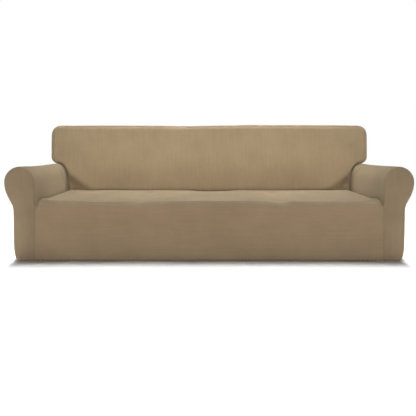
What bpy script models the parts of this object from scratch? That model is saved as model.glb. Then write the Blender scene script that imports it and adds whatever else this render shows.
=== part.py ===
"""Fitted stretch cover for a long rolled-arm sofa, built as the panels it is sewn from.

Frame: +X to the right as seen from the front, +Y to the back, +Z up, in metres.
The origin is on the floor, at the middle of the cover's box.

The panels are drawn side by side as one skin, sewn along their shared edges, and
pulled into soft folds. Each panel then gets the thickness of the cloth and a
narrow gap at its seams.
"""

import math

import bmesh
import bpy
import numpy as np
from mathutils import Vector

# ---- the whole cover ----
DEPTH = 0.92                # front of the skirt to the foot of the outside back
CLOTH = 0.0025              # thickness of the stretch knit
SEAM_GAP = 0.0003           # between two panels that are sewn together
CORNER_GAP = 0.0016         # the same where three or four of them meet
HEM_RADIUS = 0.028          # rounding of the elastic hem, up from the floor and in from the sides
HEM_DRAW = 0.016            # how far it is drawn under at the front and the rear
SKIRT_LIFT = 0.004          # the skirt's hem stands this much above the arms' hems
SKIRT_LIFT_TOP_Z = 0.150    # where that lift has faded out

# ---- the right arm, across X and Z ----
FOOT_X_FRONT = 1.127        # inner face at the seat, at the front and at the back
FOOT_X_BACK = 1.128
INNER_X_FRONT = 1.139       # inner face where the roll begins
INNER_X_BACK = 1.137
INNER_Z = 0.500
RIDGE_X_FRONT = 1.233       # top of the roll
RIDGE_X_BACK = 1.214
RIDGE_Z = 0.6125
ROLL_X = 1.335              # outermost point of the roll
ROLL_Z = 0.512
WAIST_X = 1.276             # outer wall just under the roll
WAIST_Z = 0.330
ROLL_PULL_Z = 0.420         # heights and width that the curve under the roll is pulled towards
WAIST_PULL_Z = 0.397
WAIST_PULL_X = 1.283
WALL_FOOT_X = 1.270         # outer wall just above the hem
ARM_EDGE = 0.014            # rounding round the front of the arm
ARM_SEAM_INSET = 0.004      # its seam lies this far in on that rounding
ARM_FRONT_CROWN = 0.006

# ---- the seat ----
SEAT_FRONT_Z = 0.388
SEAT_BACK_Z = 0.405
SEAT_FRONT_FALL = 0.027     # from the seat's top down to the seam with the skirt
SEAT_SIDE_FALL = 0.020      # down to the seam beside the arm
SEAT_SIDE_FALL_FRONT = 0.35 # share of that fall at the very front
SEAT_REAR_FALL = 0.012      # down into the crease at the back
SEAT_FRONT_ROUND = 0.014
CREASE_Y = 0.582            # crease between seat and back, mid-way along
JUNCTION_Y = 0.620          # the same where it meets the arms
CREASE_BEND_X = 0.880       # where the crease starts to run back to the arms
TUCK = 0.030                # width over which the cloth turns into a crease
TUCK_MID = 0.009

# ---- the back ----
BACK_FACE_Y = 0.572         # front of the back, just above the seat
BACK_LEAN = 0.075           # how much further back its top lies
BACK_LEAN_POWER = 1.3       # more than 1 leaves it upright above the seat and leans its top
BACK_TOP_Z = 0.922
BACK_EDGE = 0.035           # rounding from the front of the back to its top and ends
WING_X = 1.273              # end of the wing, low and high up
WING_HIGH_X = 1.282
WING_LOW_Z = 0.680          # where the wing's lower corner ends
WING_HIGH_Z = 0.838         # where its upper corner starts
WING_TOP_X = 1.200          # where its upper corner ends
WING_LOW_START = (1.248, 0.6145)    # points that the wing's corners are pulled towards
WING_LOW_PULL_Z = 0.640
WING_HIGH_PULL_Z = 0.895
WING_TOP_PULL_X = 1.256
BACK_SEAM_INSET = 0.010     # seam round the front of the back, in from the top edge
WING_SEAM_INSET = 0.018     # the same, further in at the wings' ends by this much
BACK_FIELD_INSET = 0.040    # where the flat of the back starts
SHOULDER_X = 1.120          # column of the mesh above the inner edge of the arm
POCKET_WIDTH = 0.275        # dark hollow at the back's lower corners
POCKET_HEIGHT = 0.165
POCKET_DEPTH = 0.040
POCKET_SPREAD = 1.8        # more than 1 gives the hollow a flat bottom

# ---- the outside back ----
REAR_LEAN = 0.055           # how much the rear leans forward to its top
REAR_LEAN_START_Z = 0.200
REAR_EDGE = 0.020           # rounding at the rear
REAR_SEAM_INSET = 0.006

# ---- how finely the skin is drawn ----
COLUMNS = 14                # from the middle to the tuck beside the arm
HEM_ROWS = 3
WALL_ROWS = 5
FOOT_STEPS = (0.0, 0.09, 0.25, 0.60, 1.0)
SHOULDER_ROWS = 2           # from where the roll begins to its inner shoulder
RIDGE_STEPS = 3             # from a shoulder to the ridge
UNDERCUT_ROWS = 5
OUTER_WALL_ROWS = 4
STATIONS = (0.0, 0.014, 0.040, 0.10, 0.18, 0.26, 0.34, 0.42, 0.50, 0.57, 0.605, 0.620)
WING_CORNER_STEPS = 4
WING_SIDE_STEPS = 2
TOP_SHOULDER_STEPS = 3
REAR_STATIONS = 4

INNER_ROWS = len(FOOT_STEPS) - 1 + SHOULDER_ROWS
SKIRT_ROWS = HEM_ROWS + WALL_ROWS
WING_ROWS = WING_CORNER_STEPS + WING_SIDE_STEPS

# ---- folds pulled into the sewn skin ----
# name, start (x, y, z), end (x, y, z), reach of the fold, push (x, y, z)
FOLDS = (
    ("left seat joint", (-0.455, -0.02, 0.37), (-0.455, 0.45, 0.40), 0.045, (0, 0.004, -0.012)),
    ("left joint, slack", (-0.400, -0.02, 0.37), (-0.410, 0.25, 0.40), 0.085, (0, 0.002, -0.006)),
    ("right seat joint", (0.470, -0.02, 0.37), (0.470, 0.45, 0.40), 0.045, (0, 0.004, -0.012)),
    ("right joint, slack", (0.415, -0.02, 0.37), (0.425, 0.25, 0.40), 0.085, (0, 0.002, -0.006)),
    ("left cushion edge", (-0.720, 0.00, 0.38), (-0.600, 0.05, 0.39), 0.100, (0, 0, -0.006)),
    ("right cushion edge", (0.620, 0.00, 0.38), (0.740, 0.05, 0.39), 0.100, (0, 0, -0.005)),
    ("left seat crown", (-0.800, 0.28, 0.40), (-0.760, 0.36, 0.40), 0.150, (0, 0, 0.009)),
    ("middle seat crown", (-0.080, 0.28, 0.40), (0.100, 0.34, 0.40), 0.170, (0, 0, 0.010)),
    ("right seat crown", (0.760, 0.28, 0.40), (0.820, 0.36, 0.40), 0.150, (0, 0, 0.008)),
    ("left front corner", (-1.060, 0.01, 0.39), (-1.090, 0.06, 0.39), 0.060, (0, 0, 0.007)),
    ("right front corner", (1.060, 0.01, 0.39), (1.090, 0.06, 0.39), 0.060, (0, 0, 0.007)),
    ("top dip", (-0.240, 0.64, 0.92), (-0.100, 0.84, 0.92), 0.140, (0, 0.002, -0.005)),
    ("top, right of the middle", (0.350, 0.64, 0.92), (1.050, 0.84, 0.92), 0.180, (0, 0, 0.004)),
    ("back, left fullness", (-0.780, 0.57, 0.56), (-0.500, 0.58, 0.58), 0.150, (0, -0.012, 0)),
    ("back, middle fullness", (-0.120, 0.57, 0.56), (0.160, 0.58, 0.57), 0.150, (0, -0.010, 0)),
    ("back, right fullness", (0.520, 0.57, 0.56), (0.800, 0.58, 0.58), 0.150, (0, -0.012, 0)),
    ("skirt, left slack", (-0.640, 0.00, 0.08), (-0.560, 0.00, 0.26), 0.110, (0, 0.005, 0)),
    ("skirt, right slack", (0.380, 0.00, 0.06), (0.320, 0.00, 0.24), 0.120, (0, 0.005, 0)),
    ("left arm top slack", (-1.225, 0.20, 0.62), (-1.220, 0.38, 0.62), 0.090, (0, 0, -0.004)),
    ("right arm top slack", (1.225, 0.24, 0.62), (1.220, 0.42, 0.62), 0.090, (0, 0, -0.004)),
    ("left outer hollow", (-1.272, 0.34, 0.20), (-1.272, 0.56, 0.22), 0.140, (0.006, 0, 0)),
    ("right outer hollow", (1.272, 0.34, 0.20), (1.272, 0.56, 0.22), 0.140, (-0.006, 0, 0)),
    ("rear hollow", (-0.450, 0.90, 0.34), (0.450, 0.90, 0.34), 0.220, (0, -0.008, 0)),
)

# panel: colour (linear), roughness
PANELS = {
    "front_skirt": ((0.264, 0.205, 0.128), 0.92),
    "seat_panel": ((0.300, 0.236, 0.150), 0.92),
    "inside_back": ((0.276, 0.214, 0.132), 0.92),
    "outside_back": ((0.270, 0.210, 0.130), 0.92),
    "arm_wrap_left": ((0.282, 0.222, 0.140), 0.92),
    "arm_wrap_right": ((0.282, 0.222, 0.140), 0.92),
    "arm_front_left": ((0.250, 0.196, 0.122), 0.92),
    "arm_front_right": ((0.250, 0.196, 0.122), 0.92),
}
PANEL_NAMES = tuple(PANELS)
WELD = 0.00001              # corners of neighbouring panels closer than this are one
FACING = math.cos(math.radians(110))   # panels turned further apart than this face each other
BENT = 0.8                  # a corner of cloth whose normals add up to less than this is bent
MITRE_LIMIT = 0.6           # keeps the inner corner of a sharply folded seam from running away
SHARP_DEGREES = 50          # edges sharper than this are shaded as edges


# ---- curves ----

def mix(start, end, share):
    return start + (end - start) * share


def ease(share):
    share = np.clip(share, 0.0, 1.0)
    return share * share * (3.0 - 2.0 * share)


def edge_fall(share):
    """Fall of a round edge: 1 at the edge itself, 0 from one radius inwards."""
    inward = 1.0 - np.clip(share, 0.0, 1.0)
    return 1.0 - np.sqrt(1.0 - inward * inward)


def tuck_fall(share):
    """Fall of cloth pushed into a crease: 1 in the crease, 0 where it leaves the flat."""
    return (1.0 - np.clip(share, 0.0, 1.0)) ** 2


def steps(count):
    return np.linspace(0.0, 1.0, count + 1)


def quarter_ellipse(middle, flat_radius, upright_radius, start_degrees, end_degrees, count):
    """Points on an ellipse; 0 degrees is +X from its middle and 90 degrees is +Z."""
    turn = np.radians(mix(start_degrees, end_degrees, steps(count)))
    return np.stack([middle[0] + flat_radius * np.cos(turn),
                     middle[1] + upright_radius * np.sin(turn)], axis=1)


def bezier(first, first_handle, last_handle, last, count):
    share = steps(count)[:, None]
    rest = 1.0 - share
    return (rest ** 3 * np.array(first) + 3 * rest ** 2 * share * np.array(first_handle)
            + 3 * rest * share ** 2 * np.array(last_handle) + share ** 3 * np.array(last))


def join(*stretches):
    """One outline from stretches that each start where the last one ended."""
    return np.concatenate([stretches[0]] + [stretch[1:] for stretch in stretches[1:]])


def left_normals(outline):
    """Unit normals on the left of the way the outline runs, level near the floor."""
    way = np.diff(outline, axis=0)
    way /= np.linalg.norm(way, axis=1)[:, None]
    side = np.stack([-way[:, 1], way[:, 0]], axis=1)
    normals = np.concatenate([side[:1], side[:-1] + side[1:], side[-1:]])
    normals[:, 1] *= ease(outline[:, 1] / (3 * HEM_RADIUS))
    return normals / np.linalg.norm(normals, axis=1)[:, None]


def inset(outline, distance):
    return outline + left_normals(outline) * np.reshape(distance, (-1, 1))


def coons(bottom, right, top, left):
    """Grid between four edges; bottom and top run left to right, the others upwards."""
    across = steps(len(bottom) - 1)[None, :, None]
    up = steps(len(left) - 1)[:, None, None]
    between_sides = mix(left[:, None], right[:, None], across)
    between_ends = mix(bottom[None], top[None], up)
    corners = mix(mix(bottom[0], bottom[-1], across), mix(top[0], top[-1], across), up)
    return between_sides + between_ends - corners


# ---- the surfaces that the cloth is stretched over ----

def taper(y):
    return np.clip(y / JUNCTION_Y, 0.0, 1.0)


def foot_x(y):
    return mix(FOOT_X_FRONT, FOOT_X_BACK, taper(y))


def crease_y(x):
    reach = (np.abs(x) - CREASE_BEND_X) / (FOOT_X_BACK - CREASE_BEND_X)
    return mix(CREASE_Y, JUNCTION_Y, ease(reach))


def seat_z(x, y):
    """Height of the seat, with its edges falling towards the front, the arms and the back."""
    level = mix(SEAT_FRONT_Z, SEAT_BACK_Z, y / CREASE_Y)
    level = level - SEAT_FRONT_FALL * edge_fall(y / SEAT_FRONT_ROUND)
    side_fall = SEAT_SIDE_FALL * mix(SEAT_SIDE_FALL_FRONT, 1.0, ease(y / SEAT_FRONT_ROUND))
    level = level - side_fall * tuck_fall((foot_x(y) - np.abs(x)) / TUCK)
    return level - SEAT_REAR_FALL * tuck_fall((crease_y(x) - y) / TUCK)


def hem_draw(z):
    """How far the hem is drawn in under the sofa at a height."""
    return HEM_DRAW * edge_fall(z / HEM_RADIUS)


def back_face_y(x, z):
    """Front of the back, with a hollow at each of its lower corners."""
    rise = np.clip((z - SEAT_BACK_Z) / (BACK_TOP_Z - SEAT_BACK_Z), 0.0, 1.0)
    beside = (FOOT_X_BACK - np.abs(x)) / POCKET_WIDTH
    above = (z - SEAT_BACK_Z + TUCK) / (POCKET_HEIGHT + TUCK)
    away = np.maximum(beside, 0.0) + np.maximum(above, 0.0)
    pocket = ease(POCKET_SPREAD * (1.0 - away))
    return BACK_FACE_Y + BACK_LEAN * rise ** BACK_LEAN_POWER + POCKET_DEPTH * pocket


def rear_y(z):
    lean = ease((z - REAR_LEAN_START_Z) / (BACK_TOP_Z - REAR_LEAN_START_Z))
    return DEPTH - REAR_LEAN * lean - hem_draw(z)


def hem_heights(top):
    """Heights from the floor, round the hem and up a wall to its top."""
    turn = np.radians(90.0 * steps(HEM_ROWS))
    return join(HEM_RADIUS * (1.0 - np.cos(turn)), mix(HEM_RADIUS, top, steps(WALL_ROWS)))


def arm_section(y):
    """Right arm across X and Z: up from the seat, over the roll and down to the hem."""
    share = taper(y)
    foot = np.array([foot_x(y), seat_z(foot_x(y), y)])
    inner = np.array([mix(INNER_X_FRONT, INNER_X_BACK, share), INNER_Z])
    ridge_x = mix(RIDGE_X_FRONT, RIDGE_X_BACK, share)
    inside = ridge_x - inner[0]
    outside = ROLL_X - ridge_x
    up = RIDGE_Z - INNER_Z
    down = RIDGE_Z - ROLL_Z
    face = mix(foot, inner, np.array(FOOT_STEPS)[:, None])
    shoulder = quarter_ellipse((ridge_x, INNER_Z), inside, up, 180, 135, SHOULDER_ROWS)
    ridge_inner = quarter_ellipse((ridge_x, INNER_Z), inside, up, 135, 90, RIDGE_STEPS)
    ridge_outer = quarter_ellipse((ridge_x, ROLL_Z), outside, down, 90, 45, RIDGE_STEPS)
    cheek = quarter_ellipse((ridge_x, ROLL_Z), outside, down, 45, 0, SHOULDER_ROWS)
    undercut = bezier((ROLL_X, ROLL_Z), (ROLL_X, ROLL_PULL_Z), (WAIST_PULL_X, WAIST_PULL_Z),
                      (WAIST_X, WAIST_Z), UNDERCUT_ROWS)
    wall = mix(np.array([WAIST_X, WAIST_Z]), np.array([WALL_FOOT_X, HEM_RADIUS]),
               steps(OUTER_WALL_ROWS)[:, None])
    turn = np.radians(90.0 * (1.0 - steps(HEM_ROWS)))
    hem = np.stack([WALL_FOOT_X - HEM_RADIUS * (1.0 - np.sin(turn)),
                    HEM_RADIUS * (1.0 - np.cos(turn))], axis=1)
    return join(face, shoulder, ridge_inner, ridge_outer, cheek, undercut, wall, hem)


def half_columns(edge):
    """Places from the middle to an edge, close together where the cloth is tucked in."""
    return np.concatenate([(edge - TUCK) * steps(COLUMNS), [edge - TUCK_MID, edge]])


# ---- the panels, drawn for the right half ----

RIDGE_INDEX = INNER_ROWS + RIDGE_STEPS


def skirt_patch():
    x = half_columns(FOOT_X_FRONT)
    z = np.stack([hem_heights(top) for top in seat_z(x, 0.0)], axis=1)
    return np.stack([np.broadcast_to(x, z.shape), hem_draw(z), z], axis=2)


def seat_patch():
    rows = []
    for station in STATIONS:
        x = half_columns(foot_x(station))
        y = crease_y(x) * station / JUNCTION_Y
        rows.append(np.stack([x, y, seat_z(x, y)], axis=1))
    return np.array(rows)


def arm_front_outline():
    side = np.stack([np.full(SKIRT_ROWS + 1, FOOT_X_FRONT),
                     hem_heights(seat_z(FOOT_X_FRONT, 0.0))], axis=1)
    return join(side, arm_section(0.0))


def arm_front_seam():
    """Outline of the arm's front, drawn in a little where it turns on to the roll."""
    outline = arm_front_outline()
    turns = np.arange(len(outline)) > SKIRT_ROWS
    seam = inset(outline[::-1], ARM_SEAM_INSET * turns[::-1])[::-1]
    drop = ARM_EDGE * edge_fall(ARM_SEAM_INSET / ARM_EDGE) * turns
    return np.stack([seam[:, 0], hem_draw(seam[:, 1]) + drop, seam[:, 1]], axis=1)


def arm_front_patches():
    outline = arm_front_outline()
    ring = inset(outline[::-1], ARM_EDGE)[::-1]
    side = SKIRT_ROWS + INNER_ROWS
    top = side + 2 * RIDGE_STEPS
    bottom = mix(ring[0], ring[-1], steps(2 * RIDGE_STEPS)[:, None])
    field = coons(bottom, ring[top:][::-1], ring[side:top + 1], ring[:side + 1])
    rows = steps(side)[:, None]
    columns = steps(2 * RIDGE_STEPS)[None, :]
    crown = ARM_FRONT_CROWN * np.sin(math.pi * rows) * np.sin(math.pi * columns)
    field_points = np.stack([field[..., 0], hem_draw(field[..., 1]) - crown, field[..., 1]], axis=2)
    ring_points = np.stack([ring[:, 0], hem_draw(ring[:, 1]), ring[:, 1]], axis=1)
    return field_points, np.stack([arm_front_seam(), ring_points])


def arm_wrap_patches():
    """The whole wrap up to the back, then its outer part on to the rear."""
    rows = [arm_front_seam()[SKIRT_ROWS:]]
    for station in STATIONS[1:]:
        section = arm_section(station)
        y = mix(hem_draw(section[:, 1]), JUNCTION_Y, station / JUNCTION_Y)
        rows.append(np.stack([section[:, 0], y, section[:, 1]], axis=1))
    outer = rows[-1][RIDGE_INDEX:]
    end = rear_y(outer[:, 2]) - REAR_EDGE
    behind = [outer]
    for share in steps(REAR_STATIONS)[1:]:
        behind.append(np.stack([outer[:, 0], mix(outer[:, 1], end, share), outer[:, 2]], axis=1))
    behind.append(rear_edge()[:len(outer)][::-1])
    return np.array(rows), np.array(behind)


def wing_outline():
    """Right half of the back from the arm's ridge round the wing to the middle of the top."""
    low = bezier((RIDGE_X_BACK, RIDGE_Z), WING_LOW_START, (WING_X, WING_LOW_PULL_Z),
                 (WING_X, WING_LOW_Z), WING_CORNER_STEPS)
    side = mix(low[-1], np.array([WING_HIGH_X, WING_HIGH_Z]), steps(WING_SIDE_STEPS)[:, None])
    high = bezier((WING_HIGH_X, WING_HIGH_Z), (WING_HIGH_X, WING_HIGH_PULL_Z), (WING_TOP_PULL_X, BACK_TOP_Z),
                  (WING_TOP_X, BACK_TOP_Z), WING_CORNER_STEPS)
    shoulder = mix(high[-1], np.array([SHOULDER_X, BACK_TOP_Z]), steps(TOP_SHOULDER_STEPS)[:, None])
    top = mix(shoulder[-1], np.array([0.0, BACK_TOP_Z]), steps(COLUMNS)[:, None])
    return join(low, side, high, shoulder, top)


def back_outline():
    """Right half of the T-shaped front of the back, up beside the arm and round the wing."""
    return join(arm_section(JUNCTION_Y)[:RIDGE_INDEX + 1], wing_outline())


def back_rings():
    """Edge, seam line and field line of the inside back, as points in space."""
    outline = back_outline()
    on_arm = np.arange(len(outline)) <= RIDGE_INDEX
    normals = left_normals(outline)
    seam_inset = np.where(on_arm, TUCK_MID, BACK_SEAM_INSET + WING_SEAM_INSET * normals[:, 0] ** 2)
    field_inset = np.where(on_arm, TUCK, BACK_FIELD_INSET)
    edge_y = np.where(on_arm, JUNCTION_Y, back_face_y(outline[:, 0], outline[:, 1]) + BACK_EDGE)
    lift = seat_z(FOOT_X_BACK - TUCK, crease_y(FOOT_X_BACK - TUCK)) - outline[0, 1]
    climb = (outline[:, 1] - outline[0, 1]) / (outline[INNER_ROWS, 1] - outline[0, 1])
    rings = []
    for distance in (0.0 * seam_inset, seam_inset, field_inset):
        line = outline + normals * distance[:, None]
        line[:, 1] += lift * np.clip(1.0 - climb, 0.0, 1.0) * distance / field_inset
        face = back_face_y(line[:, 0], line[:, 1])
        fall = np.where(on_arm, tuck_fall(distance / TUCK), edge_fall(distance / BACK_EDGE))
        y = mix(face, edge_y, fall)
        rings.append(np.stack([line[:, 0], y, line[:, 1]], axis=1))
    for ring, crease_end in zip(rings, seat_patch()[-1][::-1]):
        ring[0] = crease_end
    return rings


def inside_back_patches():
    edge, seam, field = back_rings()
    crease = seat_patch()[-1][:COLUMNS + 1]
    shoulder_top = len(edge) - 1 - COLUMNS
    wing_top = shoulder_top - TOP_SHOULDER_STEPS - WING_CORNER_STEPS // 2
    wing_foot = RIDGE_INDEX + WING_CORNER_STEPS // 2

    # the column above the arm's inner shoulder, up to the top
    share = steps(WING_ROWS)[:, None]
    upright = mix(field[INNER_ROWS], field[shoulder_top], share)
    side = join(field[:INNER_ROWS + 1], upright)

    # the middle, from the crease to the field line under the top
    climb = (side[:, 2] - side[0, 2]) / (side[-1, 2] - side[0, 2])
    middle = [crease]
    for outer, height in zip(side[1:], climb[1:]):
        x = crease[:, 0] * outer[0] / crease[-1, 0]
        z = mix(crease[:, 2], field[-1, 2], height)
        fall = tuck_fall((z - crease[:, 2]) / TUCK)
        middle.append(np.stack([x, mix(back_face_y(x, z), crease_y(x), fall), z], axis=1))
    middle = np.array(middle)

    # beside the arm, from the field line to the crease
    beside = slice(0, INNER_ROWS + 1)
    tuck = np.stack([middle[beside, -1], seam[beside], edge[beside]], axis=1)

    # the wing
    field[INNER_ROWS] = middle[INNER_ROWS, -1]
    field[shoulder_top:] = middle[-1][::-1]
    wing = coons(field[INNER_ROWS:wing_foot + 1], field[wing_foot:wing_top + 1],
                 field[wing_top:shoulder_top + 1][::-1], middle[INNER_ROWS:, -1])
    wing[1:-1, 1:-1, 1] = back_face_y(wing[1:-1, 1:-1, 0], wing[1:-1, 1:-1, 2])

    # from the field line out to the arm's top, then to the seam round the wing
    turned = np.stack([seam[INNER_ROWS:], field[INNER_ROWS:]])
    over_arm = slice(INNER_ROWS, RIDGE_INDEX + 1)
    resting = np.stack([edge[over_arm], seam[over_arm]])
    return [middle, tuck, wing, turned, resting]


def rear_edge():
    """Seam line round the rear, from the arm's hem over its ridge and round the wing."""
    outline = join(arm_section(JUNCTION_Y)[RIDGE_INDEX:][::-1], wing_outline())
    line = inset(outline, REAR_SEAM_INSET)
    drop = REAR_EDGE * edge_fall(REAR_SEAM_INSET / REAR_EDGE)
    return np.stack([line[:, 0], rear_y(line[:, 1]) - drop, line[:, 1]], axis=1)


def outside_back_patches():
    edge, seam, _ = back_rings()
    edge = edge[RIDGE_INDEX:]
    seam = seam[RIDGE_INDEX:]
    outline = wing_outline()
    end = rear_y(outline[:, 1]) - REAR_EDGE
    band = [seam]
    for share in steps(REAR_STATIONS):
        band.append(np.stack([outline[:, 0], mix(edge[:, 1], end, share), outline[:, 1]], axis=1))
    rear_seam = rear_edge()
    ridge = len(rear_seam) - len(outline)
    band.append(rear_seam[ridge:])

    arm_outer = arm_section(JUNCTION_Y)[RIDGE_INDEX:][::-1]
    ring = inset(join(arm_outer, outline), REAR_EDGE)
    shoulder_top = len(ring) - 1 - COLUMNS
    wing_top = shoulder_top - TOP_SHOULDER_STEPS - WING_CORNER_STEPS // 2
    wing_foot = ridge + WING_CORNER_STEPS // 2
    cheek = ridge - RIDGE_STEPS

    # the column at the arm's inner shoulder, from the hem to the top
    foot_heights = hem_heights(arm_section(JUNCTION_Y)[0, 1])
    shoulder = arm_section(JUNCTION_Y)[:INNER_ROWS + 1]
    low_side = join(np.stack([np.full(len(foot_heights), FOOT_X_BACK), foot_heights], axis=1), shoulder)
    high_side = mix(shoulder[-1], ring[shoulder_top], steps(WING_ROWS)[:, None])
    side = join(low_side, high_side)
    x = steps(COLUMNS)[None, :] * side[:, :1]
    middle = np.stack([x, np.broadcast_to(side[:, 1:], x.shape)], axis=2)

    # the arm's rear and the wing's rear share the line from the shoulder to the ridge
    shared = mix(shoulder[-1], ring[ridge], steps(RIDGE_STEPS)[:, None])
    arm_bottom = mix(side[0], ring[0], steps(2 * RIDGE_STEPS)[:, None])
    arm = coons(arm_bottom, ring[:cheek + 1], join(shared, ring[cheek:ridge + 1][::-1]), low_side)
    wing = coons(join(shared, ring[ridge:wing_foot + 1]), ring[wing_foot:wing_top + 1],
                 ring[wing_top:shoulder_top + 1][::-1], high_side)
    flat = [np.stack([part[..., 0], rear_y(part[..., 1]), part[..., 1]], axis=2)
            for part in (middle, arm, wing)]
    ring_points = np.stack([ring[:, 0], rear_y(ring[:, 1]), ring[:, 1]], axis=1)
    return flat + [np.stack([rear_seam, ring_points]), np.array(band)]


# ---- sewing, folding and giving the cloth its thickness ----

def sew(patches):
    """One skin of triangles from (panel name, grid) pairs, with its normals outwards."""
    skin = bmesh.new()
    for name, grid in patches:
        corners = [[skin.verts.new(point) for point in row] for row in grid]
        for low, high in zip(corners, corners[1:]):
            for quad in zip(low, low[1:], high[1:], high):
                skin.faces.new(quad).material_index = PANEL_NAMES.index(name)
    bmesh.ops.remove_doubles(skin, verts=skin.verts, dist=WELD)
    bmesh.ops.recalc_face_normals(skin, faces=skin.faces)
    skirt = [face for face in skin.faces if face.material_index == PANEL_NAMES.index("front_skirt")]
    if sum(face.normal.y for face in skirt) > 0:
        bmesh.ops.reverse_faces(skin, faces=skin.faces)
    bmesh.ops.triangulate(skin, faces=skin.faces, quad_method="SHORT_EDGE")
    return skin


def pull_folds(skin):
    """Push the skin along each fold, most on its line and fading with distance."""
    for _, start, end, reach, push in FOLDS:
        start = Vector(start)
        way = Vector(end) - start
        for vert in skin.verts:
            share = min(max((vert.co - start).dot(way) / way.length_squared, 0.0), 1.0)
            distance = (vert.co - start - way * share).length
            vert.co += Vector(push) * math.exp(-(distance / reach) ** 2)


def lift_skirt(skin):
    """The front skirt's hem hangs a little higher than the hems of the arms."""
    for vert in skin.verts:
        if vert.co.y < 2 * HEM_RADIUS:
            inside = ease((FOOT_X_FRONT - abs(vert.co.x)) / TUCK)
            low = ease((SKIRT_LIFT_TOP_Z - vert.co.z) / (SKIRT_LIFT_TOP_Z - HEM_RADIUS))
            vert.co.z += SKIRT_LIFT * float(inside * low)


def centre(skin):
    """Put the middle of the skin's box over the origin, and its lowest point on the floor."""
    points = np.array([vert.co for vert in skin.verts])
    low = points.min(axis=0)
    high = points.max(axis=0)
    shift = Vector((-(low[0] + high[0]) / 2, -(low[1] + high[1]) / 2, -low[2]))
    bmesh.ops.translate(skin, verts=skin.verts, vec=shift)


def inward_way(vert, faces):
    """Unit direction from a corner to the middle of some of the faces round it."""
    return sum((face.calc_center_median() - vert.co for face in faces), Vector()).normalized()


def corner_loops(vert, faces):
    return [loop for face in faces for loop in face.loops if loop.vert == vert]


def corner_angle(vert, faces):
    return sum(loop.calc_angle() for loop in corner_loops(vert, faces))


def corner_normal(vert, faces):
    """Sum of the faces' normals, each weighed by its angle at the corner."""
    return sum((loop.face.normal * loop.calc_angle() for loop in corner_loops(vert, faces)), Vector())


def outer_and_inner(vert, panel):
    """Where a corner of the skin lies on the outer and on the inner face of one panel."""
    panels = {}
    for face in vert.link_faces:
        panels.setdefault(face.material_index, []).append(face)
    normals = {index: corner_normal(vert, faces) for index, faces in panels.items()}
    own_normal = normals[panel].normalized()
    own_way = inward_way(vert, panels[panel])
    gap = SEAM_GAP if len(panels) < 3 else CORNER_GAP
    direction = normals[panel].copy()
    outer = vert.co.copy()
    for index, normal in normals.items():
        if index == panel:
            continue
        other_way = inward_way(vert, panels[index])
        if normals[panel].length < BENT * corner_angle(vert, panels[panel]):
            # this panel bends round a corner of the other one, so its cloth lies beyond it
            beyond = own_normal.cross(normal).normalized()
            beyond *= math.copysign(1.0, -beyond.dot(other_way))
            return outer + beyond * gap / 2, outer + beyond * CLOTH
        if own_normal.dot(normal.normalized()) < FACING:
            outer -= own_normal * gap / 2
            continue
        direction += normal
        apart = own_way - other_way
        level = (own_normal + normal.normalized()).normalized()
        apart -= level * apart.dot(level)
        outer += apart.normalized() * gap / 2
    direction.normalize()
    inner = outer - direction * CLOTH / max(own_normal.dot(direction), MITRE_LIMIT)
    return outer, inner


def panel_object(skin, name, parent):
    """A closed sheet for one panel, with its own cloth."""
    panel = PANEL_NAMES.index(name)
    faces = [face for face in skin.faces if face.material_index == panel]
    verts = sorted({vert for face in faces for vert in face.verts}, key=lambda vert: vert.index)
    sheet = bmesh.new()
    pairs = {}
    for vert in verts:
        outer, inner = outer_and_inner(vert, panel)
        pairs[vert] = (sheet.verts.new(outer), sheet.verts.new(inner))
    for face in faces:
        sheet.faces.new([pairs[vert][0] for vert in face.verts])
        sheet.faces.new([pairs[vert][1] for vert in reversed(face.verts)])
        for loop in face.loops:
            neighbours = [other for other in loop.edge.link_faces if other.material_index == panel]
            if len(neighbours) == 1:
                first = pairs[loop.vert]
                last = pairs[loop.link_loop_next.vert]
                sheet.faces.new((last[0], first[0], first[1], last[1]))

    middle = sum((vert.co for vert in sheet.verts), Vector()) / len(sheet.verts)
    bmesh.ops.translate(sheet, verts=sheet.verts, vec=-middle)
    mesh = bpy.data.meshes.new(name)
    sheet.to_mesh(mesh)
    sheet.free()
    mesh.shade_smooth()
    mesh.set_sharp_from_angle(angle=math.radians(SHARP_DEGREES))
    mesh.materials.append(cloth_material(name))
    panel_obj = bpy.data.objects.new(name, mesh)
    panel_obj.location = middle
    panel_obj.parent = parent
    bpy.context.collection.objects.link(panel_obj)


def cloth_material(name):
    colour, roughness = PANELS[name]
    material = bpy.data.materials.new(name + "_knit")
    material.use_nodes = True
    shader = material.node_tree.nodes["Principled BSDF"]
    shader.inputs["Base Color"].default_value = (*colour, 1.0)
    shader.inputs["Roughness"].default_value = roughness
    shader.inputs["Metallic"].default_value = 0.0
    return material


def drawn_patches():
    """Every panel's grids, for both halves of the cover."""
    right_half = [("front_skirt", [skirt_patch()]),
                  ("seat_panel", [seat_patch()]),
                  ("inside_back", inside_back_patches()),
                  ("outside_back", outside_back_patches()),
                  ("arm_wrap", arm_wrap_patches()),
                  ("arm_front", arm_front_patches())]
    patches = []
    for side, mirror in (("_right", 1.0), ("_left", -1.0)):
        for name, grids in right_half:
            full_name = name + side if name.startswith("arm") else name
            patches += [(full_name, grid * np.array([mirror, 1.0, 1.0])) for grid in grids]
    return patches


def main():
    for old in list(bpy.data.objects):
        bpy.data.objects.remove(old, do_unlink=True)
    skin = sew(drawn_patches())
    pull_folds(skin)
    lift_skirt(skin)
    centre(skin)
    skin.normal_update()
    skin.verts.index_update()
    cover = bpy.data.objects.new("slipcover", None)
    bpy.context.collection.objects.link(cover)
    for name in PANEL_NAMES:
        panel_object(skin, name, cover)
    skin.free()


main()
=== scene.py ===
import math

import bmesh
import bpy
import numpy as np
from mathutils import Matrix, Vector
from mathutils.bvhtree import BVHTree
from mathutils.kdtree import KDTree


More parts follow.
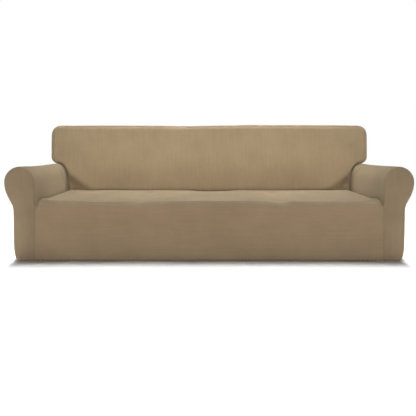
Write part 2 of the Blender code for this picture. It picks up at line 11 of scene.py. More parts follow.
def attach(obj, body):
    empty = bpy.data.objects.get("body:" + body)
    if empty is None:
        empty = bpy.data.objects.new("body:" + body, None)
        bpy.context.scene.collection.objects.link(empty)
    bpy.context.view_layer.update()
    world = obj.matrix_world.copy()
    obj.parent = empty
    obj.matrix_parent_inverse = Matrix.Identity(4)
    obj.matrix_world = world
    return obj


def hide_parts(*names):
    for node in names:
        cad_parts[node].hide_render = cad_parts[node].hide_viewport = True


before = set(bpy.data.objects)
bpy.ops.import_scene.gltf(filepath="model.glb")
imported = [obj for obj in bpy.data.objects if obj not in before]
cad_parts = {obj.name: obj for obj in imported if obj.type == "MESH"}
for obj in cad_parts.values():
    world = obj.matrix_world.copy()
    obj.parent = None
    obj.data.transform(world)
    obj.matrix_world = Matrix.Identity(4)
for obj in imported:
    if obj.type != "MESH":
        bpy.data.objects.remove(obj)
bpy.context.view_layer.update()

# A fitted stretch cover for a long rolled-arm sofa, made panel by panel.
# +X is to the right as seen from the front, +Y to the back, +Z up, in metres. Every panel is
# drawn with its front seam at y = 0 and then moved so that the middle of the cover is at y = 0.


# ---- Seat panel ----
# One rectangle of stretch knit over the seat cushions. It is sewn to the skirt along its front
# edge, tucked down beside both arms and pushed into the crease in front of the back.

HALF_DEPTH = 0.457          # from the front seam to the middle of the cover
FOOT_X_FRONT = 1.127        # where the seat meets the arm, at the front and at the back
FOOT_X_BACK = 1.128
SEAT_FRONT_Z = 0.388
SEAT_BACK_Z = 0.405
SEAT_FRONT_FALL = 0.027     # how far the seat falls at its front, its sides and its rear
SEAT_SIDE_FALL = 0.020
SEAT_SIDE_FALL_FRONT = 0.35
SEAT_REAR_FALL = 0.012
SEAT_FRONT_ROUND = 0.014
CREASE_Y = 0.582            # crease between seat and back, mid-way along and at the arms
JUNCTION_Y = 0.620
CREASE_BEND_X = 0.880
TUCK = 0.030                # width over which the cloth turns down into a crease
COLUMNS = 96                # grid lines from the middle to the tuck beside the arm
SEAT_ROWS = 44              # and from the seat's round front to where the grid is finer
FINE_FROM_Y = 0.570
FINE_ROWS = 9               # from there back to the crease
# how far the grid lines of a tuck lie from its crease, and the first rows from the front seam
TUCK_REACHES = (0.030, 0.024, 0.018, 0.013, 0.009, 0.006, 0.0035, 0.0015, 0.0)
FRONT_STATIONS = (0.0, 0.0006, 0.0024, 0.0054, 0.0094, 0.014, 0.020, 0.0263, 0.0331, 0.040)


def mix(start, end, share):
    return start + (end - start) * share


def ease(share):
    share = np.clip(share, 0.0, 1.0)
    return share * share * (3.0 - 2.0 * share)


def shares(count, first=1.0, last=1.0):
    """0 to 1 in steps; a first or last below 1 draws the steps together at that end."""
    at = np.linspace(0.0, 1.0, count + 1)
    ends = first * (at ** 3 - 2 * at ** 2 + at) + last * (at ** 3 - at ** 2)
    return ends + at ** 2 * (3 - 2 * at)


def join(*stretches):
    return np.concatenate([stretches[0]] + [stretch[1:] for stretch in stretches[1:]])


def edge_fall(share):
    """Fall of a round edge: 1 at the edge itself, 0 from one radius inwards."""
    inward = 1.0 - np.clip(share, 0.0, 1.0)
    return 1.0 - np.sqrt(1.0 - inward * inward)


def tuck_fall(share):
    return (1.0 - np.clip(share, 0.0, 1.0)) ** 2


def foot_x(y):
    return mix(FOOT_X_FRONT, FOOT_X_BACK, np.clip(y / JUNCTION_Y, 0.0, 1.0))


def crease_y(x):
    reach = (np.abs(x) - CREASE_BEND_X) / (FOOT_X_BACK - CREASE_BEND_X)
    return mix(CREASE_Y, JUNCTION_Y, ease(reach))


def seat_z(x, y):
    level = mix(SEAT_FRONT_Z, SEAT_BACK_Z, y / CREASE_Y)
    level = level - SEAT_FRONT_FALL * edge_fall(y / SEAT_FRONT_ROUND)
    side_fall = SEAT_SIDE_FALL * mix(SEAT_SIDE_FALL_FRONT, 1.0, ease(y / SEAT_FRONT_ROUND))
    level = level - side_fall * tuck_fall((foot_x(y) - np.abs(x)) / TUCK)
    return level - SEAT_REAR_FALL * tuck_fall((crease_y(x) - y) / TUCK)


COLUMN_SHARES = shares(COLUMNS, 1.0, 0.4)


def half_columns(edge):
    """Grid lines from the middle to an edge, drawn together where the cloth is tucked in."""
    return join((edge - TUCK) * COLUMN_SHARES, edge - np.array(TUCK_REACHES))


STATIONS = join(np.array(FRONT_STATIONS),
                mix(FRONT_STATIONS[-1], FINE_FROM_Y, shares(SEAT_ROWS, 0.6, 0.8)),
                mix(FINE_FROM_Y, JUNCTION_Y, shares(FINE_ROWS, 1.0, 0.3)))


def both_sides(name, start, end, reach, push):
    """Two rows of FOLDS: the fold as it is written, on the right, and its mirror image."""
    return [(name, np.multiply(start, flip), np.multiply(end, flip), reach, np.multiply(push, flip))
            for flip in ((-1, 1, 1), (1, 1, 1))]


# How the cloth is pulled where it is tight or slack: the line that a fold runs along, how far
# the fold reaches to each side, and how far the cloth is pushed. Folds cross the seams.
# name, start (x, y, z), end (x, y, z), reach, push (x, y, z)
FOLDS = [
    ("left seat joint", (-0.455, -0.02, 0.37), (-0.455, 0.45, 0.40), 0.045, (0, 0.004, -0.012)),
    ("left joint, slack", (-0.400, -0.02, 0.37), (-0.410, 0.25, 0.40), 0.085, (0, 0.002, -0.006)),
    ("right seat joint", (0.470, -0.02, 0.37), (0.470, 0.45, 0.40), 0.045, (0, 0.004, -0.012)),
    ("right joint, slack", (0.415, -0.02, 0.37), (0.425, 0.25, 0.40), 0.085, (0, 0.002, -0.006)),
    ("left cushion edge", (-0.720, 0.00, 0.38), (-0.600, 0.05, 0.39), 0.100, (0, 0, -0.006)),
    ("right cushion edge", (0.620, 0.00, 0.38), (0.740, 0.05, 0.39), 0.100, (0, 0, -0.005)),
    ("left seat crown", (-0.800, 0.28, 0.40), (-0.760, 0.36, 0.40), 0.150, (0, 0, 0.009)),
    ("middle seat crown", (-0.080, 0.28, 0.40), (0.100, 0.34, 0.40), 0.170, (0, 0, 0.010)),
    ("right seat crown", (0.760, 0.28, 0.40), (0.820, 0.36, 0.40), 0.150, (0, 0, 0.008)),
    *both_sides("front corner", (1.060, 0.01, 0.39), (1.090, 0.06, 0.39), 0.060, (0, 0, 0.007)),
    ("top dip", (-0.240, 0.64, 0.92), (-0.100, 0.84, 0.92), 0.140, (0, 0.002, -0.005)),
    ("top, right of the middle", (0.350, 0.64, 0.92), (1.050, 0.84, 0.92), 0.180, (0, 0, 0.004)),
    ("back, left fullness", (-0.780, 0.57, 0.56), (-0.500, 0.58, 0.58), 0.150, (0, -0.012, 0)),
    ("back, middle fullness", (-0.120, 0.57, 0.56), (0.160, 0.58, 0.57), 0.150, (0, -0.010, 0)),
    ("back, right fullness", (0.520, 0.57, 0.56), (0.800, 0.58, 0.58), 0.150, (0, -0.012, 0)),
    ("skirt, left slack", (-0.640, 0.00, 0.08), (-0.560, 0.00, 0.26), 0.110, (0, 0.005, 0)),
    ("skirt, right slack", (0.380, 0.00, 0.06), (0.320, 0.00, 0.24), 0.120, (0, 0.005, 0)),
    ("left arm top slack", (-1.225, 0.20, 0.62), (-1.220, 0.38, 0.62), 0.090, (0, 0, -0.004)),
    ("right arm top slack", (1.225, 0.24, 0.62), (1.220, 0.42, 0.62), 0.090, (0, 0, -0.004)),
    *both_sides("outer hollow", (1.272, 0.34, 0.20), (1.272, 0.56, 0.22), 0.140, (-0.006, 0, 0)),
    *both_sides("seat corner", (1.070, 0.0, 0.385), (1.095, 0.05, 0.39), 0.024, (0, 0, 0.006)),
    *both_sides("front tuck", (1.108, 0.0, 0.395), (1.120, 0.0, 0.368), 0.007, (0, 0.012, -0.003)),
    *both_sides("tuck's fold", (1.092, 0, 0.388), (1.11, 0, 0.345), 0.009, (0, -0.006, 0.002)),
    ("middle of the crease", (-0.07, 0.565, 0.40), (0.13, 0.565, 0.40), 0.055, (0, 0, -0.007)),
    *both_sides("pocket", (1.115, 0.615, 0.44), (1.090, 0.615, 0.40), 0.060, (0, 0.013, 0)),
    *both_sides("pocket corner", (1.130, 0.63, 0.42), (1.100, 0.63, 0.395), 0.052, (0, 0.016, 0)),
    ("left wing seam", (-1.232, 0.604, 0.675), (-1.240, 0.6335, 0.85), 0.0055, (0, -0.0055, 0)),
    ("left of the wing seam", (-1.241, 0.604, 0.675), (-1.249, 0.6335, 0.85), 0.005, (0, 0.004, 0)),
    ("right wing seam", (1.232, 0.604, 0.675), (1.240, 0.6335, 0.85), 0.0055, (0, -0.0065, 0)),
    ("right of the wing seam", (1.241, 0.604, 0.675), (1.249, 0.6335, 0.85), 0.005, (0, 0.005, 0)),
    ("left arm's front", (-1.141, 0.006, 0.43), (-1.143, 0.006, 0.53), 0.010, (0.003, 0.006, 0)),
    ("right arm's front", (1.141, 0.006, 0.43), (1.144, 0.006, 0.54), 0.010, (-0.003, 0.007, 0)),
    ("left shoulder fold", (-1.136, 0.565, 0.46), (-1.153, 0.530, 0.566), 0.012, (0.005, 0, 0.001)),
    ("left shoulder trough", (-1.136, 0.535, 0.47), (-1.153, 0.500, 0.566), 0.012, (-0.004, 0, 0)),
    ("right shoulder fold", (1.136, 0.560, 0.45), (1.160, 0.510, 0.575), 0.012, (-0.005, 0, 0.001)),
    ("right shoulder trough", (1.136, 0.530, 0.46), (1.160, 0.480, 0.575), 0.012, (0.004, 0, 0)),
    ("left roll's underside", (-1.300, 0.02, 0.46), (-1.280, 0.16, 0.40), 0.020, (0.006, 0, 0)),
    ("right roll's underside", (1.300, 0.02, 0.46), (1.285, 0.14, 0.40), 0.020, (-0.006, 0, 0)),
    *both_sides("foot", (1.285, -0.01, 0.0), (1.285, 0.92, 0.0), 0.050, (-0.007, 0, 0)),
    *both_sides("front foot", (1.270, 0.00, 0.0), (1.270, 0.02, 0.0), 0.050, (-0.006, 0, 0)),
    ("rear hollow", (-0.450, 0.90, 0.34), (0.450, 0.90, 0.34), 0.220, (0, -0.008, 0)),
]


def pull_folds(points):
    for _, start, end, reach, push in FOLDS:
        way = np.subtract(end, start)
        along = np.clip((points - start) @ way / (way @ way), 0.0, 1.0)
        distance = np.linalg.norm(points - start - along[:, None] * way, axis=1)
        points = points + np.exp(-(distance / reach) ** 2)[:, None] * np.array(push)
    return points


SKIRT_LIFT = 0.004          # the skirt's hem stands this much above the arms' hems
SKIRT_LIFT_TOP_Z = 0.150
HEM_RADIUS = 0.028          # rounding of the elastic hem, up from the floor and in at the sides


def lift_skirt(points):
    inside = ease((FOOT_X_FRONT - np.abs(points[:, 0])) / TUCK)
    low = ease((SKIRT_LIFT_TOP_Z - points[:, 2]) / (SKIRT_LIFT_TOP_Z - HEM_RADIUS))
    points[:, 2] += SKIRT_LIFT * inside * low * (points[:, 1] < 2 * HEM_RADIUS)
    return points


CLOTH = 0.0020              # thickness of the stretch knit
LOOP_WIDTH = 0.0022         # width and height of one loop of the knit
LOOP_HEIGHT = 0.0016
RIPPLE = 0.0009             # slow ripples of the cloth, which die out towards its edges
RIPPLE_CALM = 0.05
SEAM_DEPTH = 0.0022         # how deep the cloth turns in at a flush seam
SEAM_REACH = 0.0035
SOFT_SEAM = 0.25            # share of that depth at the seam along the seat's front edge
AT_FRONT = 0.0005           # an edge no farther back than this is the front seam
RIDGE_HEIGHT = 0.0011       # the seam's turned-in edges show beside it as a low ridge
RIDGE_AT = 0.0085
RIDGE_REACH = 0.0036
PUCKER_PITCH = 0.031        # the thread pulls the ridge a little at this pitch
GATHER_PITCH = 0.027        # small gathers that the elastic draws in the hem
GATHER_DEPTH = 0.0009
GATHER_TOP_Z = 0.055
GATHER_CALM = 0.02
STITCH_LINES = (0.0160, 0.0215)     # heights of the two rows of stitches that hold the hem
STITCH_DENT = 0.0008        # how far they pull the cloth in, and how far up and down
STITCH_DENT_REACH = 0.0045
FLOOR_EDGE_Z = 0.001        # an edge below this is the hem's free edge
WELD = 0.00001              # corners nearer to each other than this are one
SEAM_MARKS = 6              # steps along each edge of a seam, for measuring how near it is
MAP_RANGE = ("From Min", "From Max", "To Min", "To Max")    # inputs of Blender's node of that name


# The whole cover is one knit; each panel gets its own copy, coloured lighter or darker as painted
# light and shade
def knit(name, colour, deep, streaks=(70.0, 4.0)):
    """Fine stretch knit: columns of V-shaped loops, a soft nap, slightly uneven dye, and painted
    shade in the gaps between the loops. streaks says how often yarns of uneven dye come per metre
    across and along the cloth."""
    material = bpy.data.materials.new(name)
    material.use_nodes = True
    nodes = material.node_tree.nodes
    links = material.node_tree.links
    cloth = nodes["Principled BSDF"]

    def add(kind, **values):
        node = nodes.new("ShaderNode" + kind)
        for key, value in values.items():
            setattr(node, key, value)
        return node

    def calc(operation, *values):
        node = add("Math", operation=operation)
        for socket, value in zip(node.inputs, values):
            if isinstance(value, (int, float)):
                socket.default_value = value
            else:
                links.new(value, socket)
        return node.outputs[0]

    def noise(dimensions, place, scale, detail):
        node = add("TexNoise", noise_dimensions=dimensions)
        node.inputs["Scale"].default_value = scale
        node.inputs["Detail"].default_value = detail
        links.new(place, node.inputs["Vector"])
        return node

    lie = add("UVMap", uv_map="cloth").outputs["UV"]
    place = add("TexCoord").outputs["Object"]
    split = add("SeparateXYZ")
    links.new(lie, split.inputs[0])
    wander = noise("2D", lie, 9.0, 2.0)
    across = calc("MULTIPLY_ADD", wander.outputs["Fac"], 0.012, split.outputs["X"])
    along = calc("MULTIPLY_ADD", wander.outputs["Fac"], 0.010, split.outputs["Y"])

    # columns of loops, each a leaning V
    column = calc("FRACT", calc("DIVIDE", across, LOOP_WIDTH))
    off_middle = calc("ABSOLUTE", calc("MULTIPLY_ADD", column, 2.0, -1.0))
    lean = calc("MULTIPLY_ADD", off_middle, 0.8, calc("DIVIDE", along, LOOP_HEIGHT))
    loop = calc("MULTIPLY_ADD", calc("SINE", calc("MULTIPLY", lean, 2 * math.pi)), 0.5, 0.5)
    round_column = calc("SUBTRACT", 1.0, calc("POWER", off_middle, 2.4))
    height = calc("MULTIPLY", round_column, calc("MULTIPLY_ADD", loop, 0.45, 0.55))
    fuzz = noise("3D", place, 900.0, 3.0)
    nap = calc("MULTIPLY_ADD", fuzz.outputs["Fac"], 0.35, height)

    # uneven dye: soft blotches, and single yarns that took more or less of it
    blotch = noise("3D", place, 5.5, 4.0)
    blotch.inputs["Roughness"].default_value = 0.6
    dye = add("MapRange")
    links.new(blotch.outputs["Fac"], dye.inputs["Value"])
    for socket, value in zip(MAP_RANGE, (0.30, 0.70, 0.0, 0.55)):
        dye.inputs[socket].default_value = value
    drawn_out = add("VectorMath", operation="MULTIPLY")
    drawn_out.inputs[1].default_value = (*streaks, 1.0)
    links.new(lie, drawn_out.inputs[0])
    yarn = noise("2D", drawn_out.outputs["Vector"], 1.0, 2.0)
    uneven = calc("MULTIPLY_ADD", yarn.outputs["Fac"], 0.5, dye.outputs["Result"])
    # mix towards the deep colour: the uneven dye, plus painted shade where the loops are low, in
    # the gaps between them
    dye_and_gap_shade = calc("MULTIPLY_ADD", height, -0.45, calc("ADD", uneven, 0.20))

    tone = add("Mix", data_type="RGBA")
    tone.inputs["A"].default_value = (*colour, 1.0)
    tone.inputs["B"].default_value = (*deep, 1.0)
    links.new(dye_and_gap_shade, tone.inputs["Factor"])
    links.new(tone.outputs["Result"], cloth.inputs["Base Color"])

    rough = calc("MULTIPLY_ADD", fuzz.outputs["Fac"], 0.10, 0.84)
    links.new(rough, cloth.inputs["Roughness"])
    relief = add("Bump")
    relief.inputs["Strength"].default_value = 0.55
    relief.inputs["Distance"].default_value = 0.0006
    links.new(nap, relief.inputs["Height"])
    links.new(relief.outputs["Normal"], cloth.inputs["Normal"])
    cloth.inputs["Sheen Weight"].default_value = 0.18
    cloth.inputs["Sheen Roughness"].default_value = 0.45
    cloth.inputs["Sheen Tint"].default_value = (0.95, 0.86, 0.70, 1.0)
    cloth.inputs["Specular IOR Level"].default_value = 0.25
    return material


def plain(name, colour, roughness):
    material = bpy.data.materials.new(name)
    material.use_nodes = True
    look = material.node_tree.nodes["Principled BSDF"]
    look.inputs["Base Color"].default_value = (*colour, 1.0)
    look.inputs["Roughness"].default_value = roughness
    return material


def unevenness(points):
    """Slow ripples of a cloth that is stretched by hand, about a millimetre high."""
    x, y, z = points.T
    ripple = (np.sin(11.3 * x + 4.1 * np.sin(2.3 * z) + 1.0) * np.sin(9.1 * z + 7.3 * y + 0.4)
              + 0.7 * np.sin(19.7 * x + 3.0 * y + 2.0) * np.sin(15.3 * z + 12.1 * y + 1.7)
              + 0.4 * np.sin(37.0 * x - 8.0 * z) * np.sin(29.0 * (y + z) + 0.9))
    return RIPPLE * ripple


def nearest(marks, points):
    """Distance from each point to the nearest mark, and which mark that is."""
    tree = KDTree(len(marks))
    for index, mark in enumerate(marks):
        tree.insert(mark, index)
    tree.balance()
    found = [tree.find(point) for point in points]
    return np.array([hit[2] for hit in found]), np.array([hit[1] for hit in found])


def add_piece(name, form, material):
    """The finished form in the scene, as an object with one material."""
    mesh = bpy.data.meshes.new(name)
    form.to_mesh(mesh)
    form.free()
    mesh.materials.append(material)
    piece = bpy.data.objects.new(name, mesh)
    bpy.context.collection.objects.link(piece)
    return piece


def sew_panel(name, grids, outwards, flush_seam, material):
    """One panel from (points, lie of the cloth) grids: folded, turned in at its flush seams and
    gathered at its hem. flush_seam says how deeply each point of its edge is sewn to a neighbour
    that lies level with it, and 0 where it isn't."""
    panel = bmesh.new()
    layer = panel.loops.layers.uv.new("cloth")
    for points, lie in grids:
        corners = [[panel.verts.new(point) for point in row] for row in points]
        for i in range(len(corners) - 1):
            for j in range(len(corners[0]) - 1):
                places = ((i, j), (i, j + 1), (i + 1, j + 1), (i + 1, j))
                face = panel.faces.new([corners[a][b] for a, b in places])
                for loop, (a, b) in zip(face.loops, places):
                    loop[layer].uv = lie[a][b]
    bmesh.ops.remove_doubles(panel, verts=panel.verts, dist=WELD)
    bmesh.ops.recalc_face_normals(panel, faces=panel.faces)
    if sum(face.normal.dot(outwards) * face.calc_area() for face in panel.faces) < 0:
        bmesh.ops.reverse_faces(panel, faces=panel.faces)

    drawn = np.array([vert.co for vert in panel.verts])
    placed = lift_skirt(pull_folds(drawn))
    for vert, place in zip(panel.verts, placed):
        vert.co = place
    panel.normal_update()
    panel.verts.index_update()
    normals = np.array([vert.normal for vert in panel.verts])

    # marks along the sewn edges, where the pulled cloth lies and where it was drawn
    edges = [edge for edge in panel.edges if edge.is_boundary]
    sewn = [[vert.index for vert in edge.verts] for edge in edges
            if max(drawn[vert.index][2] for vert in edge.verts) > FLOOR_EDGE_Z]
    lying = np.array([vert.co for vert in panel.verts])
    steps = shares(SEAM_MARKS)[:, None]

    def along_seams(places):
        return np.concatenate([mix(places[start], places[end], steps) for start, end in sewn])

    marks = along_seams(lying)
    depth = flush_seam(along_seams(drawn))
    to_edge, _ = nearest(marks, placed)
    to_flush, mark = nearest(marks[depth > 0], placed)
    depth = depth[depth > 0][mark]

    rise = unevenness(placed) * ease(to_edge / RIPPLE_CALM)
    rise -= depth * SEAM_DEPTH * np.exp(-(to_flush / SEAM_REACH) ** 1.5)
    pucker = 0.7 + 0.3 * np.sin(2 * math.pi * placed.sum(axis=1) / PUCKER_PITCH)
    rise += depth * pucker * RIDGE_HEIGHT * np.exp(-((to_flush - RIDGE_AT) / RIDGE_REACH) ** 2)
    along_hem = placed[:, 0] + placed[:, 1]
    gathers = np.sin(2 * math.pi * along_hem / GATHER_PITCH + 2.0 * np.sin(9.0 * along_hem))
    low = ease((GATHER_TOP_Z - drawn[:, 2]) / GATHER_TOP_Z)
    rise += GATHER_DEPTH * gathers * low * ease(to_edge / GATHER_CALM)
    off_stitches = (drawn[:, 2] - np.mean(STITCH_LINES)) / STITCH_DENT_REACH
    rise -= STITCH_DENT * np.exp(-off_stitches ** 2)
    placed = placed + normals * rise[:, None]
    placed[:, 1] -= HALF_DEPTH
    placed[:, 2] = np.maximum(placed[:, 2], 0.0)
    for vert, place in zip(panel.verts, placed):
        vert.co = place
    for face in panel.faces:
        face.smooth = True

    piece = add_piece(name, panel, material)
    thickness = piece.modifiers.new("cloth", "SOLIDIFY")
    thickness.thickness = CLOTH
    thickness.offset = -1.0
    return piece


def both_halves(grids):
    """The grids of the right half and their mirror images."""
    flip = np.array([-1.0, 1.0, 1.0])
    return grids + [(points * flip, lie * flip[:2]) for points, lie in grids]


def seat_grid():
    rows = []
    for station in STATIONS:
        x = half_columns(foot_x(station))
        y = crease_y(x) * station / JUNCTION_Y
        rows.append(np.stack([x, y, seat_z(x, y)], axis=1))
    points = np.array(rows)
    return points, points[..., :2]


UP = Vector((0, 0, 1))

# painted light: the seat's copy of the knit is paler and less red than the other panels' copies
seat = sew_panel("seat_panel_cloth", both_halves([seat_grid()]), UP,
                 lambda edge: SOFT_SEAM * (edge[:, 1] < AT_FRONT),
                 knit("seat_knit", (0.272, 0.209, 0.133), (0.211, 0.159, 0.095), (4.0, 60.0)))
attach(seat, "root")
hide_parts("seat_panel")


# ---- Front skirt ----
# One long rectangle from the seat's front edge to the floor, of the same knit. It is sewn to the
# seat panel above and to both arm fronts, and its lower edge is turned over an elastic.

HEM_DRAW = 0.007            # how far the hem is drawn under at the front and the rear
HEM_ROWS = 8
WALL_ROWS = 26
SKIRT_ROWS = HEM_ROWS + WALL_ROWS
SIDE_SEAM = 0.4             # share of a seam's full depth at the skirt's two ends
AT_SIDE = 0.001             # how near to those ends an edge is one of theirs
STITCH_PITCH = 0.0042
STITCH_SIZE = (0.0030, 0.0010, 0.0009)      # length, width and height of one stitch
FORWARD = Vector((0, -1, 0))


def hem_draw(z):
    """How far the hem is drawn in under the sofa at a height."""
    return HEM_DRAW * edge_fall(z / HEM_RADIUS)


def hem_heights(top):
    """Heights from the floor, round the hem and up a wall to its top."""
    turn = np.radians(90.0 * shares(HEM_ROWS))
    wall = mix(HEM_RADIUS, top, shares(WALL_ROWS, 1.0, 0.15))
    return join(HEM_RADIUS * (1.0 - np.cos(turn)), wall)


def skirt_grid():
    x = half_columns(FOOT_X_FRONT)
    z = np.stack([hem_heights(top) for top in seat_z(x, 0.0)], axis=1)
    points = np.stack([np.broadcast_to(x, z.shape), hem_draw(z), z], axis=2)
    return points, points[..., ::2]


thread = plain("hem_thread", (0.225, 0.162, 0.096), 0.6)


def hem_stitches(panel, start, end, way):
    """Two rows of thread stitches along a panel's hem, found by looking along way at the cloth
    from each step between start and end. Each stitch is a small bead, pointed at both ends."""
    cloth = BVHTree.FromPolygons([vert.co for vert in panel.data.vertices],
                                 [face.vertices for face in panel.data.polygons])
    start, end, way = Vector(start), Vector(end), Vector(way)
    count = round((end - start).length / STITCH_PITCH)
    stitches = bmesh.new()
    length, width, proud = STITCH_SIZE
    for height in STITCH_LINES:
        for k in range(count):
            look = start.lerp(end, (k + 0.5) / count) + UP * height
            place, out, _, _ = cloth.ray_cast(look, way)
            if place is None:
                continue
            along = UP.cross(out).normalized()
            up = out.cross(along)
            tips = [stitches.verts.new(place + along * length * sign / 2) for sign in (-1, 1)]
            waist = [stitches.verts.new(place + push) for push in
                     (out * proud, up * width / 2, out * -proud, up * -width / 2)]
            for a, b in zip(waist, waist[1:] + waist[:1]):
                stitches.faces.new((tips[0], a, b))
                stitches.faces.new((tips[1], b, a))
    bmesh.ops.recalc_face_normals(stitches, faces=stitches.faces)
    piece = add_piece(panel.name.replace("_cloth", "_hem_stitches"), stitches, thread)
    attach(piece, "root")
    return piece


# painted shade: the skirt's copy of the knit is a little darker than the seat's and the back's
skirt = sew_panel("front_skirt_cloth", both_halves([skirt_grid()]), FORWARD,
                  lambda edge: np.where(np.abs(edge[:, 0]) > FOOT_X_FRONT - AT_SIDE,
                                        SIDE_SEAM, SOFT_SEAM),
                  knit("skirt_knit", (0.276, 0.199, 0.120), (0.219, 0.153, 0.089), (4.0, 75.0)))
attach(skirt, "root")
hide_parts("front_skirt")
skirt_stitches = hem_stitches(skirt, (-1.12, -1.0, 0.0), (1.12, -1.0, 0.0), (0, 1, 0))


# ---- Arm fronts ----
# A keyhole-shaped panel closes the front of each arm. Its edge turns a little way on to the roll,
# where it is sewn to the arm's wrap; below the seat it is sewn to the skirt.

INNER_X_FRONT = 1.139       # inner face where the roll begins
INNER_X_BACK = 1.137
INNER_Z = 0.500
RIDGE_X_FRONT = 1.233       # top of the roll
RIDGE_X_BACK = 1.214
RIDGE_Z = 0.6125
ROLL_X = 1.335              # outermost point of the roll
ROLL_Z = 0.512
WAIST_X = 1.276             # outer wall just under the roll
WAIST_Z = 0.330
ROLL_PULL_Z = 0.420         # the curve under the roll is pulled towards these
WAIST_PULL_Z = 0.397
WAIST_PULL_X = 1.283
WALL_FOOT_X = 1.270
ARM_FRONT_CROWN = 0.006     # how far the panel stands proud in its middle
ARM_EDGE = 0.014            # rounding round the front of the arm
SEAM_SHARE = 0.2857         # the seam lies this share of the rounding in from the arm's outline
ROLL_SEAM = 0.8             # share of a seam's full depth round the roll
EDGE_GROW = 0.035           # height over which the rounding grows from nothing above the seat
# heights of the grid lines up the arm's inner face, as shares of it
FOOT_STEPS = (0.0, 0.011, 0.03, 0.06, 0.11, 0.18, 0.27, 0.38, 0.50, 0.62, 0.74, 0.87, 1.0)
SHOULDER_ROWS = 6           # from where the roll begins to its inner shoulder
RIDGE_STEPS = 8             # from a shoulder to the ridge
UNDERCUT_ROWS = 14
STRIP_ROWS = 6              # in the part of the front that turns on to the roll
OUTER_WALL_ROWS = 24
INNER_ROWS = len(FOOT_STEPS) - 1 + SHOULDER_ROWS
RIDGE_INDEX = INNER_ROWS + RIDGE_STEPS


def ellipse_arc(middle, flat_radius, upright_radius, start_degrees, end_degrees, count):
    turn = np.radians(mix(start_degrees, end_degrees, shares(count)))
    return np.stack([middle[0] + flat_radius * np.cos(turn),
                     middle[1] + upright_radius * np.sin(turn)], axis=1)


def bezier(first, first_pull, last_pull, last, count):
    share = shares(count)[:, None]
    rest = 1.0 - share
    return (rest ** 3 * np.array(first) + 3 * rest ** 2 * share * np.array(first_pull)
            + 3 * rest * share ** 2 * np.array(last_pull) + share ** 3 * np.array(last))


def left_normals(outline):
    """Unit normals on the left of the way the outline runs, level near the floor."""
    way = np.diff(outline, axis=0)
    way /= np.linalg.norm(way, axis=1)[:, None]
    side = np.stack([-way[:, 1], way[:, 0]], axis=1)
    normals = np.concatenate([side[:1], side[:-1] + side[1:], side[-1:]])
    normals[:, 1] *= ease(outline[:, 1] / (3 * HEM_RADIUS))
    return normals / np.linalg.norm(normals, axis=1)[:, None]


def inset(outline, distance):
    return outline + left_normals(outline) * np.reshape(distance, (-1, 1))


def draw_in(outline, distance):
    """The same for an outline that runs the other way round."""
    return inset(outline[::-1], np.broadcast_to(distance, len(outline))[::-1])[::-1]


def between_edges(bottom, right, top, left):
    """Grid between four edges; bottom and top run left to right, the others upwards."""
    across = np.linspace(0.0, 1.0, len(bottom))[None, :, None]
    up = np.linspace(0.0, 1.0, len(left))[:, None, None]
    between_sides = mix(left[:, None], right[:, None], across)
    between_ends = mix(bottom[None], top[None], up)
    corners = mix(mix(bottom[0], bottom[-1], across), mix(top[0], top[-1], across), up)
    return between_sides + between_ends - corners


def arm_section(y):
    """Right arm across X and Z: up from the seat, over the roll and down to the hem."""
    share = np.clip(y / JUNCTION_Y, 0.0, 1.0)
    foot = np.array([foot_x(y), seat_z(foot_x(y), y)])
    inner = np.array([mix(INNER_X_FRONT, INNER_X_BACK, share), INNER_Z])
    ridge_x = mix(RIDGE_X_FRONT, RIDGE_X_BACK, share)
    up = RIDGE_Z - INNER_Z
    down = RIDGE_Z - ROLL_Z
    face = mix(foot, inner, np.array(FOOT_STEPS)[:, None])
    shoulder = ellipse_arc((ridge_x, INNER_Z), ridge_x - inner[0], up, 180, 135, SHOULDER_ROWS)
    ridge_inner = ellipse_arc((ridge_x, INNER_Z), ridge_x - inner[0], up, 135, 90, RIDGE_STEPS)
    ridge_outer = ellipse_arc((ridge_x, ROLL_Z), ROLL_X - ridge_x, down, 90, 45, RIDGE_STEPS)
    cheek = ellipse_arc((ridge_x, ROLL_Z), ROLL_X - ridge_x, down, 45, 0, SHOULDER_ROWS)
    undercut = bezier((ROLL_X, ROLL_Z), (ROLL_X, ROLL_PULL_Z), (WAIST_PULL_X, WAIST_PULL_Z),
                      (WAIST_X, WAIST_Z), UNDERCUT_ROWS)
    wall = mix(np.array([WAIST_X, WAIST_Z]), np.array([WALL_FOOT_X, HEM_RADIUS]),
               shares(OUTER_WALL_ROWS)[:, None])
    turn = np.radians(90.0 * (1.0 - shares(HEM_ROWS)))
    hem = np.stack([WALL_FOOT_X - HEM_RADIUS * (1.0 - np.sin(turn)),
                    HEM_RADIUS * (1.0 - np.cos(turn))], axis=1)
    return join(face, shoulder, ridge_inner, ridge_outer, cheek, undercut, wall, hem)


def edge_radius(section):
    """Radius of the rounding at the front of the arm, growing from nothing above the seat."""
    grown = ease((section[:, 1] - section[0, 1]) / EDGE_GROW)
    grown[INNER_ROWS + 1:] = 1.0
    return ARM_EDGE * grown


def front_outline():
    side = np.stack([np.full(SKIRT_ROWS + 1, FOOT_X_FRONT),
                     hem_heights(seat_z(FOOT_X_FRONT, 0.0))], axis=1)
    section = arm_section(0.0)
    radius = np.concatenate([np.zeros(SKIRT_ROWS), edge_radius(section)])
    return join(side, section), radius


def rounding(distance, radius):
    """How far behind the arm's front a point of its rounding lies."""
    share = distance / np.maximum(radius, WELD)
    return radius * edge_fall(share)


